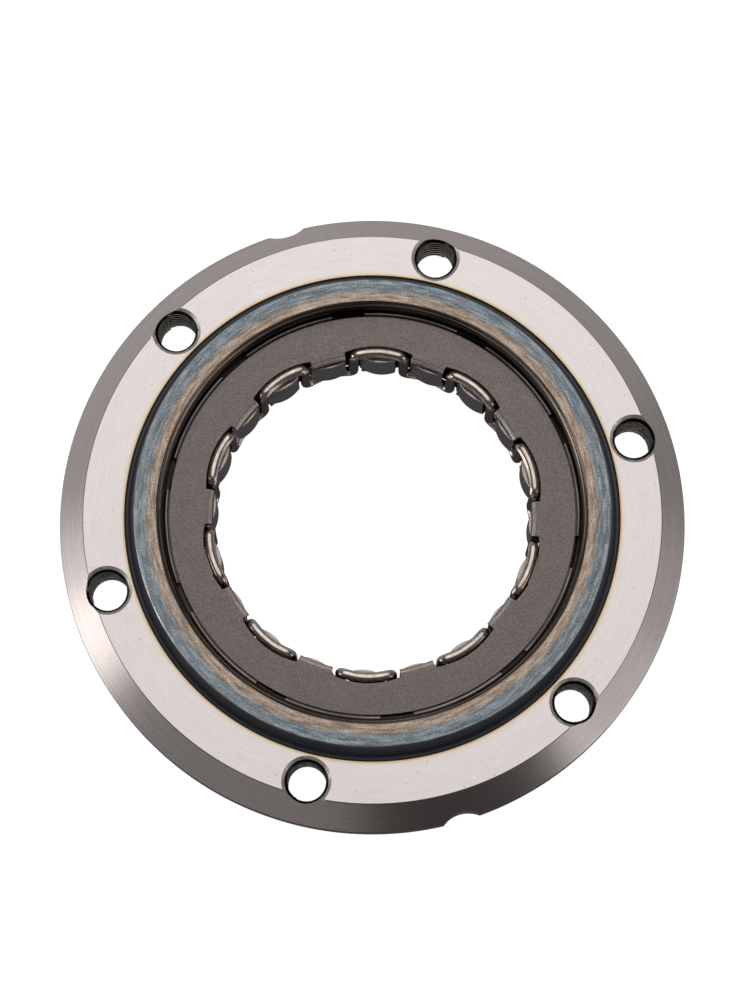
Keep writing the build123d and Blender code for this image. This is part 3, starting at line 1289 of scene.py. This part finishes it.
    def outer_wall(self) -> Piece:
        """Model the outer wall with its bead, lip, windows and gaps.

        Returns:
            The wall.
        """
        bead_half = (self.bead_outer_radius - self.bead_inner_radius) / 2
        outline = [
            (self.bead_outer_radius, self.flange_base + self.flange_chamfer),
            *arc((self.bead_middle, self.plate_top), bead_half, 0.0, 180.0, self.bead_steps, self.bead_proud),
            (self.bead_inner_radius, self.flange_top),
            (self.wall_inner_radius, self.flange_top),
            (self.wall_inner_radius, self.lip_top),
            (self.lip_radius, self.lip_top),
            (self.lip_radius, self.lip_base),
            (self.wall_outer_radius - self.lip_chamfer, self.lip_base),
            (self.wall_outer_radius, self.lip_base + self.lip_chamfer),
            (self.wall_outer_radius, self.flange_base),
            (self.bead_outer_radius - self.flange_chamfer, self.flange_base),
        ]
        wall = draw_outline("cage_outer_wall", section(outline))
        spin(FULL_TURN, RING_STEPS)
        weld()
        window_depth = 3.0
        gap_depth = 4.0
        over = 1.0
        start = self.first_loop_angle
        middle = (self.window_base + self.window_top) / 2
        window = (window_depth, self.window_width, self.window_top - self.window_base)
        cut(wall, self.blocks(window, self.wall_outer_radius, middle, start, self.sprag_count))
        gap = (gap_depth, self.gap_width, 2 * (self.plate_top - self.flange_base + over))
        gap_radius = self.wall_outer_radius + gap_depth / 2
        gap_start = start + self.sprag_pitch / 2
        cut(wall, self.blocks(gap, gap_radius, self.plate_top + over / 2, gap_start, self.loop_count))
        finish_mesh(wall)
        return wall

    @staticmethod
    def blocks(
        size: tuple[float, float, float], radius: float, height: float, angle: float, count: int
    ) -> Piece:
        """Stand up a ring of square-edged cutters.

        Args:
            size: a block's length along the radius, its width and its height.
            radius: the radius of its middle.
            height: the height of its middle.
            angle: where the first one stands, in degrees.
            count: how many there are.

        Returns:
            One object with all the cutters, in edit mode.
        """
        deselect()
        bpy.ops.mesh.primitive_cube_add(size=1.0, location=(mm(radius), 0, mm(height)))
        cutter = bpy.context.object
        cutter.scale = [mm(length) for length in size]
        bpy.ops.object.transform_apply(location=True, scale=True)
        bpy.ops.object.mode_set(mode="EDIT")
        bpy.ops.mesh.select_all(action="SELECT")
        turn_selection(angle)
        repeat_around(count)
        return cutter

    def choose_finish(self, centre: Vector, normal: Vector) -> SheetPart:
        """Tell the front tabs' bends, which carry a painted highlight, and the bead's crest from the plain
        sheet.

        Args:
            centre: the face's centre, in metres.
            normal: its direction.

        Returns:
            The part that the face belongs to.
        """
        radius = to_mm(centre.xy.length)
        height = to_mm(centre.z)
        bend_base = self.plate_base + 0.3
        # Bend faces tilted between these limits get the painted highlight
        in_highlight_band = 0.45 < normal.z < 0.93
        crest_half = 0.25
        if radius < self.plate_inner_radius and height > bend_base and in_highlight_band:
            return SheetPart.BEND
        on_crest = abs(radius - self.bead_middle) < crest_half and height > self.plate_top
        return SheetPart.BEAD if on_crest else SheetPart.PLAIN

    def build(self) -> list[Piece]:
        """Build and dress the cage.

        Returns:
            Its pieces.
        """
        finishes = [finish.make() for finish in (PHOSPHATED_SHEET, BEND_HIGHLIGHT_SHEET, RUBBED_BEAD)]
        front, rear, wall = self.front_ring(), self.rear_ring(), self.outer_wall()
        for piece, node in ((front, "cage_front"), (rear, "cage_rear"), (wall, "cage_outer")):
            dress(piece, finishes, self.choose_finish)
            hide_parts(node)
            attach(piece, "cage")
        return [front, rear, wall]


@dataclass
class WireSpring:
    """The bent wire: ten loops in front, ten behind and twenty legs between them."""

    first_loop_angle: float = FIRST_LOOP_ANGLE
    loop_count: int = LOOP_COUNT
    wire_radius: float = 0.95
    loop_middle_radius: float = 30.45
    bow_radius: float = 14.0
    bow_steps: int = 12
    bend_radius: float = 1.2
    bend_steps: int = 6
    front_height: float = 12.0
    rear_height: float = 1.0
    sides: int = 24

    @property
    def bow_centre_radius(self) -> float:
        """How far the centre of a loop's bow lies from the axis."""
        return self.loop_middle_radius - self.bow_radius

    def half_bow(self, half_pitch: float) -> float:
        """Work out how far a loop bows, so that its legs stand midway between sprags.

        Args:
            half_pitch: the angle from a loop's middle to its leg, in radians.

        Returns:
            Half the bow's angle, in degrees.
        """
        reach = math.hypot(self.bow_radius, self.bend_radius)
        lean = math.asin(self.bow_centre_radius * math.sin(half_pitch) / reach)
        return math.degrees(half_pitch + lean - math.atan(self.bend_radius / self.bow_radius))

    def choose_finish(self, centre: Vector, normal: Vector) -> WirePart:
        """Tell the wire's legs, which are painted darker as shade, from its loops.

        Args:
            centre: the face's centre, in metres.
            normal: its direction.

        Returns:
            The part that the face belongs to.
        """
        into_bend = 0.2
        below = self.front_height - self.bend_radius + into_bend
        above = self.rear_height + self.bend_radius - into_bend
        upright = abs(normal.z) < 0.3
        return WirePart.LEG if above < to_mm(centre.z) < below and upright else WirePart.LOOP

    def build(self) -> list[Piece]:
        """Bend and dress the wire.

        Returns:
            The wire, in a list.
        """
        pitch = FULL_TURN / self.loop_count / 2
        half = self.half_bow(math.radians(pitch / 2))
        bend = mm(self.bend_radius)
        up = Vector((0, 0, 1))

        def direction(angle: float) -> Vector:
            """Return the way that a bow runs at an angle of its circle."""
            return Vector((-math.sin(math.radians(angle)), math.cos(math.radians(angle)), 0))

        def loop_end(middle: float, side: int, height: float) -> Vector:
            """Return the first (side -1) or last (side 1) point of a loop's bow."""
            centre = on_circle(self.bow_centre_radius, middle, height)
            return centre + on_circle(self.bow_radius, middle + side * half)

        first = loop_end(self.first_loop_angle, -1, self.front_height)
        along = direction(self.first_loop_angle - half)
        start = first - along * bend - up * bend
        deselect()
        bpy.ops.mesh.primitive_circle_add(vertices=self.sides, radius=mm(self.wire_radius), location=start)
        wire = bpy.context.object
        wire.name = wire.data.name = "spring_wire"
        bpy.ops.object.transform_apply(location=True)
        bpy.ops.object.mode_set(mode="EDIT")
        bpy.ops.mesh.select_all(action="SELECT")
        leg = mm(self.front_height - self.rear_height) - 2 * bend
        front_loop = (self.first_loop_angle, self.front_height, 1)
        rear_loop = (self.first_loop_angle + pitch, self.rear_height, -1)
        for middle, height, sense in (front_loop, rear_loop):
            into = direction(middle - half)
            entry = loop_end(middle, -1, height)
            spin(90, self.bend_steps, entry - sense * up * bend, (sense * up).cross(into))
            spin(2 * half, self.bow_steps, on_circle(self.bow_centre_radius, middle), up)
            out = direction(middle + half)
            leave = loop_end(middle, 1, height)
            spin(90, self.bend_steps, leave - sense * up * bend, out.cross(-sense * up))
            bpy.ops.mesh.extrude_edges_move(TRANSFORM_OT_translate={"value": -sense * up * leg})
        repeat_around(self.loop_count)
        finish_mesh(wire, smooth_angle=80.0)
        # The legs get the wire's colour darkened as painted shade
        dress(wire, [BRIGHT_WIRE.make(), SHADED_WIRE_LEG.make()], self.choose_finish)
        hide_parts("wire_spring")
        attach(wire, "cage")
        return [wire]


@dataclass
class Sprags:
    """The twenty cam-shaped struts, one section copied round the axis."""

    first_angle: float = FIRST_LOOP_ANGLE
    count: int = SPRAG_COUNT
    base: float = 2.1
    length: float = 8.8
    outer_centre: float = 32.745
    inner_centre: float = 35.82
    cam_offset: float = 0.95
    cam_steps: int = 16
    outer_radius: float = 4.4
    inner_radius: float = 7.0
    outer_reach: float = 2.85
    lead_reach: float = 3.61
    trail_reach: float = 3.16
    waist_depth: float = 0.7
    waist_steps: int = 6
    corner_round: float = 0.1
    end_round: float = 0.18

    def outline(self) -> list[Point]:
        """Lay out the section of the sprag that lies on the X axis.

        Returns:
            Its outer cam face, waist, inner cam face and waist.
        """

        def lean(reach: float, radius: float) -> float:
            """Return how far round a cam face reaches, in degrees."""
            return math.degrees(math.asin(reach / radius))

        off = self.cam_offset / 2
        outer_start = -lean(self.outer_reach + off, self.outer_radius)
        outer_end = lean(self.outer_reach - off, self.outer_radius)
        inner_start = 180 - lean(self.lead_reach + off, self.inner_radius)
        inner_end = 180 + lean(self.trail_reach - off, self.inner_radius)
        outer = arc((self.outer_centre, off), self.outer_radius, outer_start, outer_end, self.cam_steps)
        inner = arc((self.inner_centre, -off), self.inner_radius, inner_start, inner_end, self.cam_steps)
        return outer + self.waist(outer[-1], inner[0], -1) + inner + self.waist(inner[-1], outer[0], 1)

    def waist(self, start: Point, end: Point, side: int) -> list[Point]:
        """Bow a line between two corners in towards the middle.

        Args:
            start: the first corner.
            end: the last corner.
            side: 1 where it bows towards the second axis, -1 where it bows away from it.

        Returns:
            The points between the corners.
        """
        points = []
        for step in range(1, self.waist_steps):
            share = step / self.waist_steps
            bow = side * self.waist_depth * 4 * share * (1 - share)
            across = start[0] + (end[0] - start[0]) * share
            points.append((across, start[1] + (end[1] - start[1]) * share + bow))
        return points

    def first_sprag(self) -> Piece:
        """Model the sprag that lies on the X axis.

        Returns:
            The sprag.
        """
        flank_corner = math.radians(25)
        corners = [Vector((mm(x), mm(y), mm(self.base))) for x, y in self.outline()]
        sprag = draw_outline("sprag", corners)
        bpy.ops.mesh.edge_face_add()
        bpy.ops.mesh.extrude_region_move(TRANSFORM_OT_translate={"value": (0, 0, mm(self.length))})
        weld()
        pick_edges(sprag, lambda edge: self.is_upright(edge) and edge.calc_face_angle(0) > flank_corner)
        round_edges(self.corner_round)
        pick_edges(sprag, lambda edge: not self.is_upright(edge))
        round_edges(self.end_round)
        weld(FINE_WELD)
        finish_mesh(sprag, smooth_angle=35.0)
        return sprag

    @staticmethod
    def choose_finish(centre: Vector, normal: Vector) -> SpragPart:
        """Tell a sprag's flat ends, and the rounded edges beside them that carry a painted highlight, from
        its sides.

        Args:
            centre: the face's centre, which doesn't matter here.
            normal: its direction.

        Returns:
            The part that the face belongs to.
        """
        tilt = abs(normal.z)
        if tilt < 0.05:
            return SpragPart.SIDE
        return SpragPart.END if tilt > 0.98 else SpragPart.EDGE

    @staticmethod
    def is_upright(edge: bmesh.types.BMEdge) -> bool:
        """Tell whether an edge runs along the axis."""
        return abs(edge.verts[0].co.z - edge.verts[1].co.z) > mm(0.5)

    def build(self) -> list[Piece]:
        """Build, copy and dress the sprags.

        Returns:
            The twenty sprags.
        """
        first = self.first_sprag()
        finishes = [finish.make() for finish in (SPRAG_FACE, SPRAG_END, SPRAG_EDGE)]
        dress(first, finishes, self.choose_finish)
        pieces = []
        for number in range(self.count):
            select_only(first)
            bpy.ops.object.duplicate(linked=False)
            sprag = bpy.context.object
            body = f"sprag_{number + 1:02d}"
            sprag.name = sprag.data.name = f"{body}_strut"
            sprag.rotation_euler.z = math.radians(self.first_angle + number * FULL_TURN / self.count)
            bpy.ops.object.transform_apply(rotation=True)
            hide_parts(body)
            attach(sprag, body)
            pieces.append(sprag)
        bpy.data.objects.remove(first)
        return pieces


@dataclass(frozen=True)
class Glow:
    """One bright part of the room, as a span of compass angles and of heights over the horizon.

    Angles are in degrees and compass ones count counter-clockwise from +X, from -90 to 270.
    """

    level: float
    start: float
    end: float
    low: float
    high: float
    fade: float = 6.0

    def edge(self, tree: Tree, value: Socket, at: float, sense: int) -> Socket:
        """Return a soft step at an angle.

        Args:
            tree: the world's node tree.
            value: the angle looked at, in radians.
            at: where the step stands, in degrees.
            sense: 1 where the light begins, -1 where it ends.

        Returns:
            A value that goes from nought to one, or back.
        """
        limits = {1: math.radians(at - sense * self.fade), 2: math.radians(at + sense * self.fade)}
        return add_node(tree, "MapRange", {0: value, **limits}).outputs[0]

    def shine(self, tree: Tree, compass: Socket, height: Socket) -> Socket:
        """Return the light that this part sends.

        Args:
            tree: the world's node tree.
            compass: the compass angle looked at, in radians.
            height: the height looked at, in radians.

        Returns:
            The light's level.
        """
        light = self.edge(tree, compass, self.start, 1)
        for value, at, sense in ((compass, self.end, -1), (height, self.low, 1), (height, self.high, -1)):
            links = {0: light, 1: self.edge(tree, value, at, sense)}
            light = add_node(tree, "Math", links, operation="MULTIPLY").outputs[0]
        return add_node(tree, "Math", {0: light, 1: self.level}, operation="MULTIPLY").outputs[0]


@dataclass
class Studio:
    """The floor, the soft light around the clutch and the camera above it."""

    elevation: float = 78.3
    distance: float = 477.0
    target_height: float = 11.3
    sensor_height: float = 36.0
    focal_pixels: float = 2594.9
    frame_height: float = 1000.0
    shift_right: float = 2.64
    shift_up: float = 13.86
    nearest: float = 10.0
    floor_size: float = 20000.0
    floor_gap: float = 0.02
    lamp_size: float = 900.0
    lamp_place: tuple[float, float, float] = (150.0, 350.0, 1100.0)
    lamp_watts: float = 4.0
    light_tint: tuple[float, float, float] = (1.0, 0.985, 0.97)
    room_level: float = 0.08
    softbox_level: float = 1.08
    softbox_elevation: float = 64.0
    softbox_half_width: float = 33.0
    softbox_fade: float = 8.0
    glows: tuple[Glow, ...] = (
        # Soft panel on the right, brightest at its near edge
        Glow(1.7, -44, -37, -30, 9, 1),
        Glow(0.95, -37, -14, -30, 34, 4),
        Glow(0.64, -14, 8, -30, 9),
        # Dim light from the far side
        Glow(0.34, 8, 36, -30, 9),
        Glow(0.5, 36, 64, -30, 9),
        Glow(0.56, 64, 90, -30, 9),
        Glow(0.62, 90, 165, -30, 9),
        # Strip light on the left, with its spill on both sides
        Glow(1.3, 168, 184, -30, 12),
        Glow(2.9, 184, 202, -30, 24, 3),
        Glow(0.3, 204, 268, -30, 9, 3),
    )

    def lay_floor(self) -> Piece:
        """Lay a plain pale floor.

        Returns:
            The floor.
        """
        deselect()
        bpy.ops.mesh.primitive_plane_add(size=mm(self.floor_size), location=(0, 0, -mm(self.floor_gap)))
        floor = bpy.context.object
        floor.name = "floor"
        floor.visible_glossy = False
        # Matt painted board, which also glows white so that it stays even and nearly without shadow
        material = bpy.data.materials.new("pale_floor")
        material.use_nodes = True
        shader = material.node_tree.nodes["Principled BSDF"]
        shader.inputs["Base Color"].default_value = linear("7c7c7c")
        shader.inputs["Roughness"].default_value = 0.9
        shader.inputs["Emission Color"].default_value = linear("ffffff")
        shader.inputs["Emission Strength"].default_value = 1.0
        floor.data.materials.append(material)
        return floor

    def light_room(self) -> None:
        """Set the light of the room, which the metal mirrors: dark, with the bright parts added up."""
        world = bpy.data.worlds.new("studio")
        world.use_nodes = True
        bpy.context.scene.world = world
        tree = world.node_tree
        tree.nodes.clear()
        way = add_node(tree, "TexCoord").outputs["Generated"]
        light = self.overhead_glow(tree, way)
        split = add_node(tree, "SeparateXYZ", {0: way})
        x, y, z = (split.outputs[number] for number in range(3))
        height = add_node(tree, "Math", {0: z}, operation="ARCSINE").outputs[0]
        turn = add_node(tree, "Math", {0: y, 1: x}, operation="ARCTAN2").outputs[0]
        limits = {1: math.radians(270), 2: math.radians(-90)}
        compass = add_node(tree, "Math", {0: turn, **limits}, operation="WRAP").outputs[0]
        for glow in self.glows:
            shone = glow.shine(tree, compass, height)
            light = add_node(tree, "Math", {0: light, 1: shone}, operation="ADD").outputs[0]
        tinted = add_node(tree, "VectorMath", {0: self.light_tint, "Scale": light}, operation="SCALE")
        background = add_node(tree, "Background", {"Color": tinted.outputs[0], "Strength": 1.0})
        add_node(tree, "OutputWorld", {"Surface": background.outputs[0]})

    def overhead_glow(self, tree: Tree, way: Socket) -> Socket:
        """Return the light of the large round softbox overhead, with the room's own dim light.

        Args:
            tree: the world's node tree.
            way: the direction looked in.

        Returns:
            The light's level.
        """
        rise = math.radians(self.softbox_elevation)
        centre = (0.0, math.cos(rise), math.sin(rise))
        dot = add_node(tree, "VectorMath", {0: way, 1: centre}, operation="DOT_PRODUCT")
        rim = math.cos(math.radians(self.softbox_half_width + self.softbox_fade))
        inner = math.cos(math.radians(self.softbox_half_width - self.softbox_fade))
        towards = dot.outputs["Value"]
        levels = {0: towards, 1: rim, 2: inner, 3: self.room_level, 4: self.softbox_level}
        return add_node(tree, "MapRange", levels, interpolation_type="SMOOTHSTEP").outputs[0]

    def hang_lamp(self) -> None:
        """Hang a large soft lamp overhead, which the metal doesn't mirror."""
        data = bpy.data.lights.new("overhead", "AREA")
        data.shape = "RECTANGLE"
        data.size = data.size_y = mm(self.lamp_size)
        data.energy = self.lamp_watts
        lamp = bpy.data.objects.new("overhead", data)
        bpy.context.collection.objects.link(lamp)
        lamp.visible_glossy = False
        lamp.location = [mm(length) for length in self.lamp_place]
        lamp.rotation_euler = (-lamp.location).to_track_quat("-Z", "Y").to_euler()

    def place_camera(self) -> None:
        """Place the camera where the photograph's ellipses put it."""
        data = bpy.data.cameras.new("camera")
        data.sensor_fit = "VERTICAL"
        data.sensor_height = self.sensor_height
        data.lens = self.sensor_height * self.focal_pixels / self.frame_height
        data.shift_x = self.shift_right / self.frame_height
        data.shift_y = self.shift_up / self.frame_height
        data.clip_start = mm(self.nearest)
        camera = bpy.data.objects.new("camera", data)
        bpy.context.collection.objects.link(camera)
        rise = math.radians(self.elevation)
        away = Vector((0, -math.cos(rise), math.sin(rise)))
        camera.location = Vector((0, 0, mm(self.target_height))) + away * mm(self.distance)
        camera.rotation_euler = (-away).to_track_quat("-Z", "Y").to_euler()
        bpy.context.scene.camera = camera

    def build(self) -> None:
        """Build the whole studio."""
        self.lay_floor()
        self.light_room()
        self.hang_lamp()
        self.place_camera()
        bpy.context.scene.view_settings.view_transform = "Standard"


def main() -> None:
    """Build the clutch and its studio, in order."""
    logging.basicConfig(level=logging.INFO, format="%(name)s: %(message)s")
    for group in (Housing(), Cage(), WireSpring(), Sprags()):
        for piece in group.build():
            LOG.info("%s has %d faces", piece.name, len(piece.data.polygons))
    Studio().build()


if __name__ == "__main__":
    main()
